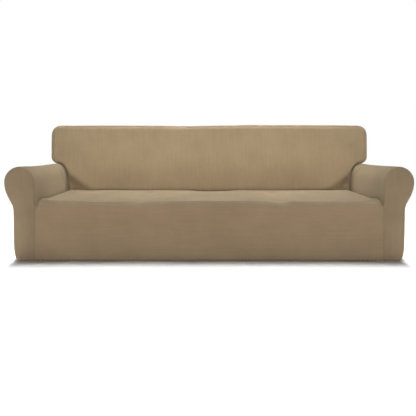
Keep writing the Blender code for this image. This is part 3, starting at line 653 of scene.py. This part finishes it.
def arm_front_grids():
    outline, radius = front_outline()
    strip = []
    for share in shares(STRIP_ROWS):
        distance = mix(SEAM_SHARE * radius, ARM_EDGE, share)
        line = draw_in(outline, distance)
        y = hem_draw(line[:, 1]) + rounding(distance, radius)
        strip.append(np.stack([line[:, 0], y, line[:, 1]], axis=1))
    ring = draw_in(outline, ARM_EDGE)
    side = SKIRT_ROWS + INNER_ROWS
    top = side + 2 * RIDGE_STEPS
    bottom = mix(ring[0], ring[-1], shares(2 * RIDGE_STEPS)[:, None])
    field = between_edges(bottom, ring[top:][::-1], ring[side:top + 1], ring[:side + 1])
    rows = np.linspace(0.0, 1.0, side + 1)[:, None]
    columns = np.linspace(0.0, 1.0, 2 * RIDGE_STEPS + 1)[None, :]
    crown = ARM_FRONT_CROWN * np.sin(math.pi * rows) * np.sin(math.pi * columns)
    field = np.stack([field[..., 0], hem_draw(field[..., 1]) - crown, field[..., 1]], axis=2)
    strip = np.array(strip)
    return [(field, field[..., ::2]), (strip, strip[..., ::2])]


def mirrored(grids, side):
    flip = np.array([side, 1.0, 1.0])
    return [(points * flip, lie) for points, lie in grids]


# painted shade: the arm fronts' copy of the knit is darker than every other panel's
arm_front_knit = knit("arm_front_knit", (0.241, 0.178, 0.108), (0.190, 0.138, 0.082))
for side, sign in (("left", -1.0), ("right", 1.0)):
    front = sew_panel(f"arm_front_{side}_cloth", mirrored(arm_front_grids(), sign), FORWARD,
                      lambda edge: np.where(edge[:, 1] < AT_FRONT, SIDE_SEAM, ROLL_SEAM),
                      arm_front_knit)
    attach(front, "root")
    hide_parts(f"arm_front_{side}")
    stitches = hem_stitches(front, (sign * 1.132, -1.0, 0.0), (sign * 1.256, -1.0, 0.0),
                            (0, 1, 0))


# ---- Arm wraps ----
# A long panel runs up the inside of each arm, over the roll and down the outside to the elastic
# hem. Behind the front of the back it carries on along the outside to the rear seam.

REAR_LEAN = 0.055           # how much the rear leans forward to its top
REAR_LEAN_START_Z = 0.200
REAR_EDGE = 0.020           # rounding at the rear
REAR_SEAM_STEPS = (0.0, 0.0008, 0.002, 0.0038, 0.006)   # inwards from the outline to the seam
REAR_SEAM_Y = 0.840         # a seam farther back than this is the rear's
DEPTH = 0.920
BACK_TOP_Z = 0.922
REAR_STATIONS = 26


def rear_y(z):
    lean = ease((z - REAR_LEAN_START_Z) / (BACK_TOP_Z - REAR_LEAN_START_Z))
    return DEPTH - REAR_LEAN * lean - hem_draw(z)


def section_length():
    """How far round the arm each point of its section lies, as the cloth runs."""
    step = np.linalg.norm(np.diff(arm_section(0.0), axis=0), axis=1)
    return np.concatenate([[0.0], np.cumsum(step)])


def wrap_row(station):
    section = arm_section(station)
    across = station
    if station < ARM_EDGE:
        radius = edge_radius(arm_section(0.0))
        seam_y = radius * edge_fall(SEAM_SHARE)
        across = mix(seam_y, ARM_EDGE, station / ARM_EDGE)
        inward = radius - np.clip(across, 0.0, radius)
        distance = radius - np.sqrt(radius ** 2 - inward ** 2)
        if station == 0.0:
            outline, _ = front_outline()
            distance = np.concatenate([np.zeros(SKIRT_ROWS), distance])
            section = draw_in(outline, distance)[SKIRT_ROWS:]
        else:
            section = draw_in(section, distance)
    y = mix(hem_draw(section[:, 1]), JUNCTION_Y, across / JUNCTION_Y)
    if station == 0.0:
        y = hem_draw(section[:, 1]) + across
    return np.stack([section[:, 0], y, section[:, 1]], axis=1)


def arm_wrap_grids():
    """The whole wrap up to the back, then its outer part on to the rear."""
    rows = np.array([wrap_row(station) for station in STATIONS])
    outer = rows[-1][RIDGE_INDEX:]
    end = rear_y(outer[:, 2]) - REAR_EDGE
    behind = []
    for share in shares(REAR_STATIONS):
        behind.append(np.stack([outer[:, 0], mix(outer[:, 1], end, share), outer[:, 2]], axis=1))
    behind = np.array(behind + [line[:len(outer)][::-1] for line in rear_edges()[1:]])
    length = section_length()
    front_lie = np.stack([rows[..., 1], np.broadcast_to(length, rows.shape[:2])], axis=2)
    outer_length = np.broadcast_to(length[RIDGE_INDEX:], behind.shape[:2])
    rear_lie = np.stack([behind[..., 1], outer_length], axis=2)
    return [(rows, front_lie), (behind, rear_lie)]


WING_X = 1.273              # end of the wing, low and high up
WING_HIGH_X = 1.282
WING_LOW_Z = 0.680          # where the wing's lower corner ends
WING_HIGH_Z = 0.838         # where its upper corner starts
WING_TOP_X = 1.200          # where its upper corner ends
WING_LOW_START = (1.248, 0.6145)
WING_LOW_PULL_Z = 0.640
WING_HIGH_PULL_Z = 0.895
WING_TOP_PULL_X = 1.256
SHOULDER_X = 1.120          # the wing's grid starts here
WING_CORNER_STEPS = 12
WING_SIDE_STEPS = 12
WING_ROWS = WING_CORNER_STEPS + WING_SIDE_STEPS


def wing_outline():
    """Right half of the back from the arm's ridge round the wing to the middle of the top."""
    low = bezier((RIDGE_X_BACK, RIDGE_Z), WING_LOW_START, (WING_X, WING_LOW_PULL_Z),
                 (WING_X, WING_LOW_Z), WING_CORNER_STEPS)
    side = mix(low[-1], np.array([WING_HIGH_X, WING_HIGH_Z]), shares(WING_SIDE_STEPS)[:, None])
    high = bezier((WING_HIGH_X, WING_HIGH_Z), (WING_HIGH_X, WING_HIGH_PULL_Z),
                  (WING_TOP_PULL_X, BACK_TOP_Z), (WING_TOP_X, BACK_TOP_Z), WING_CORNER_STEPS)
    shoulder = mix(high[-1], np.array([SHOULDER_X, BACK_TOP_Z]), shares(RIDGE_STEPS)[:, None])
    top = mix(np.array([0.0, BACK_TOP_Z]), shoulder[-1], COLUMN_SHARES[::-1, None])
    return join(low, side, high, shoulder, top)


def rear_outline():
    """Right half of the rear from the hem up the arm and round the wing to the top."""
    return join(arm_section(JUNCTION_Y)[RIDGE_INDEX:][::-1], wing_outline())


def rear_edges(steps=REAR_SEAM_STEPS):
    """Lines round the rear's rounding, at these steps inwards from its outline."""
    lines = []
    for distance in steps:
        line = inset(rear_outline(), distance)
        drop = REAR_EDGE * edge_fall(distance / REAR_EDGE)
        lines.append(np.stack([line[:, 0], rear_y(line[:, 1]) - drop, line[:, 1]], axis=1))
    return lines


# painted shade: the arm wraps' copy of the knit is a little darker than the seat's and the back's
arm_wrap_knit = knit("arm_wrap_knit", (0.257, 0.197, 0.119), (0.204, 0.153, 0.089))
for side, sign in (("left", -1.0), ("right", 1.0)):
    wrap = sew_panel(f"arm_wrap_{side}_cloth", mirrored(arm_wrap_grids(), sign), UP,
                     lambda edge: ROLL_SEAM * ((edge[:, 1] < ARM_EDGE / 2)
                                               | (edge[:, 1] > REAR_SEAM_Y)), arm_wrap_knit)
    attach(wrap, "root")
    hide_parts(f"arm_wrap_{side}")
    stitches = hem_stitches(wrap, (sign * 2.0, -0.43, 0.0), (sign * 2.0, 0.38, 0.0),
                            (-sign, 0, 0))


# ---- Inside back ----
# One T-shaped panel covers the front of the back: a wide rectangle with a wing over each arm,
# tucked down behind the seat and beside the arms, and sewn to the outside back round its edge.

BACK_FACE_Y = 0.572
BACK_LEAN = 0.075           # how far the face leans back to its top
BACK_LEAN_POWER = 1.3
BACK_EDGE = 0.035           # rounding round the face
BACK_SEAM_INSET = 0.010     # from the outline in to the seam, more at the wings
WING_SEAM_INSET = 0.018
WING_SEAM_Z = RIDGE_Z + 0.004       # above this the edge is sewn, below it rests on the arm
BACK_FIELD_INSET = 0.040
TUCK_MID = 0.009
ARM_BLEND = 0.040           # along the edge, from the tuck at the arm to the wing's seam
ARM_LET_GO = 0.030
POCKET_WIDTH = 0.275        # hollow in each lower corner, where the cloth goes down by the arm
POCKET_HEIGHT = 0.165
POCKET_DEPTH = 0.040
POCKET_SPREAD = 1.8
EDGE_RINGS = 4
FIELD_RINGS = 8


def back_face_y(x, z):
    """Front of the back, with a hollow at each of its lower corners."""
    rise = np.clip((z - SEAT_BACK_Z) / (BACK_TOP_Z - SEAT_BACK_Z), 0.0, 1.0)
    beside = (FOOT_X_BACK - np.abs(x)) / POCKET_WIDTH
    above = (z - SEAT_BACK_Z + TUCK) / (POCKET_HEIGHT + TUCK)
    away = np.maximum(beside, 0.0) + np.maximum(above, 0.0)
    pocket = ease(POCKET_SPREAD * (1.0 - away))
    return BACK_FACE_Y + BACK_LEAN * rise ** BACK_LEAN_POWER + POCKET_DEPTH * pocket


def back_rings():
    """Lines from the edge of the inside back to its seam line, and on to its flat field."""
    outline = join(arm_section(JUNCTION_Y)[:RIDGE_INDEX + 1], wing_outline())
    step = np.linalg.norm(np.diff(outline, axis=0), axis=1)
    past_ridge = np.concatenate([[0.0], np.cumsum(step)])
    past_ridge -= past_ridge[RIDGE_INDEX]
    on_arm = 1.0 - ease((past_ridge + ARM_BLEND / 2) / ARM_BLEND)
    at_arm = 1.0 - ease(past_ridge / ARM_LET_GO)
    normals = left_normals(outline)
    seam_inset = mix(BACK_SEAM_INSET + WING_SEAM_INSET * normals[:, 0] ** 2, TUCK_MID, on_arm)
    field_inset = mix(BACK_FIELD_INSET, TUCK, on_arm)
    edge_y = mix(back_face_y(outline[:, 0], outline[:, 1]) + BACK_EDGE, JUNCTION_Y, at_arm)
    crease_end = seat_grid()[0][-1]
    lift = seat_z(FOOT_X_BACK - TUCK, crease_y(FOOT_X_BACK - TUCK)) - outline[0, 1]
    climb = np.clip((outline[:, 1] - outline[0, 1]) / (INNER_Z - outline[0, 1]), 0.0, 1.0)
    climb[INNER_ROWS + 1:] = 1.0
    reaches = [seam_inset * share for share in shares(EDGE_RINGS)]
    reaches += [mix(seam_inset, field_inset, share) for share in shares(FIELD_RINGS, 0.3)[1:]]
    rings = []
    for distance in reaches:
        line = outline + normals * distance[:, None]
        line[:, 1] += lift * (1.0 - climb) * distance / field_inset
        face = back_face_y(line[:, 0], line[:, 1])
        fall = mix(edge_fall(distance / BACK_EDGE), tuck_fall(distance / TUCK), on_arm)
        rings.append(np.stack([line[:, 0], mix(face, edge_y, fall), line[:, 1]], axis=1))

    # the rings start on the crease at the rear of the seat
    crease = crease_end[COLUMNS:][::-1]
    for ring in rings:
        reach = FOOT_X_BACK - np.clip(ring[0, 0], crease[-1, 0], crease[0, 0])
        ring[0] = [np.interp(reach, FOOT_X_BACK - crease[:, 0], crease[:, axis])
                   for axis in range(3)]
    return rings


def inside_back_grids():
    rings = back_rings()
    field = rings[-1].copy()
    crease_row = seat_grid()[0][-1]
    crease = crease_row[:COLUMNS + 1]
    shoulder_top = len(field) - 1 - COLUMNS
    wing_top = shoulder_top - RIDGE_STEPS - WING_CORNER_STEPS // 2
    wing_foot = RIDGE_INDEX + WING_CORNER_STEPS // 2

    # the column above the arm's inner shoulder, up to the top
    upright = mix(field[INNER_ROWS], field[shoulder_top], shares(WING_ROWS)[:, None])
    side = join(field[:INNER_ROWS + 1], upright)

    # the middle, from the crease to the field line under the top
    climb = (side[:, 2] - side[0, 2]) / (side[-1, 2] - side[0, 2])
    middle = [crease]
    for outer, height in zip(side[1:], climb[1:]):
        x = crease[:, 0] * outer[0] / crease[-1, 0]
        z = mix(crease[:, 2], field[-1, 2], height)
        fall = tuck_fall((z - crease[:, 2]) / TUCK)
        middle.append(np.stack([x, mix(back_face_y(x, z), crease_y(x), fall), z], axis=1))
    middle = np.array(middle)

    # beside the arm, from the field line to the crease
    beside = slice(0, INNER_ROWS + 1)
    tuck = np.stack([middle[beside, -1]] + [ring[beside] for ring in rings[-2::-1]], axis=1)

    # the wing
    field[INNER_ROWS] = middle[INNER_ROWS, -1]
    field[shoulder_top:] = middle[-1][::-1]
    wing = between_edges(field[INNER_ROWS:wing_foot + 1], field[wing_foot:wing_top + 1],
                         field[wing_top:shoulder_top + 1][::-1], middle[INNER_ROWS:, -1])
    wing[1:-1, 1:-1, 1] = back_face_y(wing[1:-1, 1:-1, 0], wing[1:-1, 1:-1, 2])

    # from the field line out to the seam round the wing, and to the arm's top
    turned = np.array([ring[INNER_ROWS:] for ring in rings[EDGE_RINGS:-1]] + [field[INNER_ROWS:]])
    over_arm = slice(INNER_ROWS, RIDGE_INDEX + 1)
    resting = np.array([ring[over_arm] for ring in rings[:EDGE_RINGS + 1]])
    return [(points, points[..., ::2]) for points in (middle, tuck, wing, turned, resting)]


# painted light: the inside back's copy of the knit is the lightest of all the panels
inside_back = sew_panel("inside_back_cloth", both_halves(inside_back_grids()), FORWARD,
                        lambda edge: 1.0 * (edge[:, 2] > WING_SEAM_Z),
                        knit("inside_back_knit", (0.288, 0.215, 0.128), (0.225, 0.165, 0.093)))
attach(inside_back, "root")
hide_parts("inside_back")


# ---- Outside back ----
# One wide panel covers the rear down to the elastic hem. It also turns over the top of the back
# and round the ends of its wings, and is sewn to the inside back along their front edge.

REAR_RIM_STEPS = (0.0085, 0.0115, 0.0155, REAR_EDGE)    # on from the seam to the flat rear


def outside_back_grids():
    rings = [ring[RIDGE_INDEX:] for ring in back_rings()[:EDGE_RINGS + 1]]
    outline = wing_outline()
    end = rear_y(outline[:, 1]) - REAR_EDGE
    ridge = len(arm_section(JUNCTION_Y)) - 1 - RIDGE_INDEX
    band = rings[::-1]
    for share in shares(REAR_STATIONS)[1:]:
        y = mix(rings[0][:, 1], end, share)
        band.append(np.stack([outline[:, 0], y, outline[:, 1]], axis=1))
    lines = rear_edges()
    band = np.array(band + [line[ridge:] for line in lines[1:]])
    around = -left_normals(outline)
    lie = outline[None] + around[None] * (end[None] - band[..., 1])[..., None]

    # round the rear's rounding to its flat field
    rim = np.array(lines[-1:] + rear_edges(REAR_RIM_STEPS))
    ring = inset(rear_outline(), REAR_EDGE)
    shoulder_top = len(ring) - 1 - COLUMNS
    wing_top = shoulder_top - RIDGE_STEPS - WING_CORNER_STEPS // 2
    wing_foot = ridge + WING_CORNER_STEPS // 2
    cheek = ridge - RIDGE_STEPS

    # the column at the arm's inner shoulder, from the hem to the top
    shoulder = arm_section(JUNCTION_Y)[:INNER_ROWS + 1]
    foot_heights = hem_heights(shoulder[0, 1])
    foot = np.stack([np.full(len(foot_heights), FOOT_X_BACK), foot_heights], axis=1)
    low_side = join(foot, shoulder)
    high_side = mix(shoulder[-1], ring[shoulder_top], shares(WING_ROWS)[:, None])
    side = join(low_side, high_side)
    x = COLUMN_SHARES[None, :] * side[:, :1]
    middle = np.stack([x, np.broadcast_to(side[:, 1:], x.shape)], axis=2)

    # the arm's rear and the wing's rear share the line from the shoulder to the ridge
    shared = mix(shoulder[-1], ring[ridge], shares(RIDGE_STEPS)[:, None])
    arm_bottom = mix(side[0], ring[0], shares(2 * RIDGE_STEPS)[:, None])
    arm_top = join(shared, ring[cheek:ridge + 1][::-1])
    arm = between_edges(arm_bottom, ring[:cheek + 1], arm_top, low_side)
    wing = between_edges(join(shared, ring[ridge:wing_foot + 1]), ring[wing_foot:wing_top + 1],
                         ring[wing_top:shoulder_top + 1][::-1], high_side)
    flat = [np.stack([part[..., 0], rear_y(part[..., 1]), part[..., 1]], axis=2)
            for part in (middle, arm, wing)]
    return [(points, points[..., ::2]) for points in flat + [rim]] + [(band, lie)]


# painted light: the outside back's copy of the knit is near the inside back's lighter tone
outside_back = sew_panel("outside_back_cloth", both_halves(outside_back_grids()), -FORWARD,
                         lambda edge: 1.0 * ((edge[:, 2] > WING_SEAM_Z)
                                             | (edge[:, 1] > REAR_SEAM_Y)),
                         knit("outside_back_knit", (0.282, 0.213, 0.128), (0.222, 0.163, 0.095)))
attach(outside_back, "root")
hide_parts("outside_back")
back_stitches = hem_stitches(outside_back, (1.24, 2.0, 0.0), (-1.24, 2.0, 0.0), (0, -1, 0))


# ---- Floor, light and camera ----
# A plain pale floor that runs into a plain white background, soft light from above and in front,
# and the camera level with the lower part of the back, 2.6 m in front of the skirt.

FLOOR_COLOUR = (0.88, 0.88, 0.88)
FLOOR_SIZE = (14, 10.6)
FLOOR_MIDDLE_Y = -3.0
WALL_TOP = (0.5, 0.8)       # the wall's light fades out between these rises of the view
WALL_ENDS = (-0.2, 0.2)     # and between these shares of the view from front to back
CAMERA_HEIGHT = 0.7155
CAMERA_DISTANCE = 2.6
IMAGE = 416                 # in pixels: the picture's side, focal length and the lens's middle
FOCAL_PIXELS = 401
PRINCIPAL = (209.2, 150.8)

bpy.ops.mesh.primitive_plane_add(size=1.0, location=(0, FLOOR_MIDDLE_Y, 0))
floor = bpy.context.object
floor.name = "floor"
floor.scale = (*FLOOR_SIZE, 1)
floor.data.materials.append(plain("pale_floor", FLOOR_COLOUR, 0.9))

# A white wall behind the cover lights it from there; the rest of the studio gives no light, and
# the backdrop shows plain white from every side.
world = bpy.data.worlds.new("studio")
world.use_nodes = True
world_nodes = world.node_tree.nodes
world_links = world.node_tree.links
direction = world_nodes.new("ShaderNodeSeparateXYZ")
world_links.new(world_nodes.new("ShaderNodeTexCoord").outputs["Generated"], direction.inputs[0])
wall = []
for axis, values in (("Y", (*WALL_ENDS, 0.0, 1.0)), ("Z", (*WALL_TOP, 1.0, 0.0))):
    fade = world_nodes.new("ShaderNodeMapRange")
    fade.interpolation_type = "SMOOTHSTEP"
    for socket, value in zip(MAP_RANGE, values):
        fade.inputs[socket].default_value = value
    world_links.new(direction.outputs[axis], fade.inputs["Value"])
    wall.append(fade.outputs["Result"])
glow = world_nodes.new("ShaderNodeMath")
glow.operation = "MULTIPLY"
world_links.new(wall[0], glow.inputs[0])
world_links.new(wall[1], glow.inputs[1])
shown = world_nodes.new("ShaderNodeMath")
shown.operation = "MAXIMUM"
seen = world_nodes.new("ShaderNodeLightPath")
world_links.new(seen.outputs["Is Camera Ray"], shown.inputs[0])
world_links.new(glow.outputs[0], shown.inputs[1])
world_links.new(shown.outputs[0], world_nodes["Background"].inputs["Strength"])
world_nodes["Background"].inputs["Color"].default_value = (1.0, 1.0, 1.0, 1.0)
bpy.context.scene.world = world
bpy.context.scene.view_settings.view_transform = "Standard"

# name, position, aimed at, width, height, spread in degrees, watts; a lamp over its mark is aimed
# a hair forward, which keeps its width along X
LAMPS = (
    ("overhead", (0.0, 0.3, 3.0), (0.0, 0.2999, 0.0), 2.4, 1.0, 180, 70),
    ("low front", (0.0, -6.0, 0.45), (0.0, 0.0, 0.5), 4.0, 0.8, 180, 173),
    ("wash on the back", (0.0, -1.3, 2.3), (0.0, 0.17, 0.60), 3.0, 0.4, 40, 5.9),
    ("wash on the seat", (0.0, -0.12, 2.4), (0.0, -0.1201, 0.0), 2.2, 0.7, 14, 1.8),
    ("fill on the left arm", (0.9, -1.5, 0.45), (-1.15, -0.05, 0.5), 0.4, 0.2, 10, 0.14),
    ("fill on the right arm", (-0.9, -1.5, 0.45), (1.15, -0.05, 0.5), 0.4, 0.2, 10, 0.14),
    ("floor in front", (0.0, -1.42, 1.2), (0.0, -1.4201, 0.0), 4.4, 1.7, 10, 15),
    ("floor behind", (0.0, 1.9, 0.9), (0.0, 1.8999, 0.0), 2.6, 2.5, 10, 27),
    ("floor at the left", (-2.035, 1.2, 0.3), (-2.035, 1.1999, 0.0), 1.5, 5.0, 10, 34),
    ("floor at the left corner", (-1.35, -0.61, 0.3), (-1.35, -0.6101, 0.0), 0.20, 0.34, 10, 0.20),
    ("floor at the right", (2.035, 1.2, 0.3), (2.035, 1.1999, 0.0), 1.5, 5.0, 10, 34),
    ("floor at the right corner", (1.35, -0.61, 0.3), (1.35, -0.6101, 0.0), 0.20, 0.34, 10, 0.20),
)
for name, position, aim, width, height, spread, watts in LAMPS:
    lamp = bpy.data.lights.new(name, "AREA")
    lamp.shape = "RECTANGLE"
    lamp.size = width
    lamp.size_y = height
    lamp.spread = math.radians(spread)
    lamp.energy = watts
    holder = bpy.data.objects.new(name, lamp)
    holder.location = position
    holder.rotation_euler = (Vector(aim) - Vector(position)).to_track_quat("-Z", "Y").to_euler()
    bpy.context.collection.objects.link(holder)

lens = bpy.data.cameras.new("camera")
lens.sensor_width = 36.0
lens.lens = lens.sensor_width * FOCAL_PIXELS / IMAGE
lens.shift_x = (IMAGE / 2 - PRINCIPAL[0]) / IMAGE
lens.shift_y = (PRINCIPAL[1] - IMAGE / 2) / IMAGE
camera = bpy.data.objects.new("camera", lens)
camera.location = (0.0, -HALF_DEPTH - CAMERA_DISTANCE, CAMERA_HEIGHT)
camera.rotation_euler = (math.radians(90.0), 0.0, 0.0)
bpy.context.collection.objects.link(camera)
bpy.context.scene.camera = camera

bpy.context.view_layer.update()
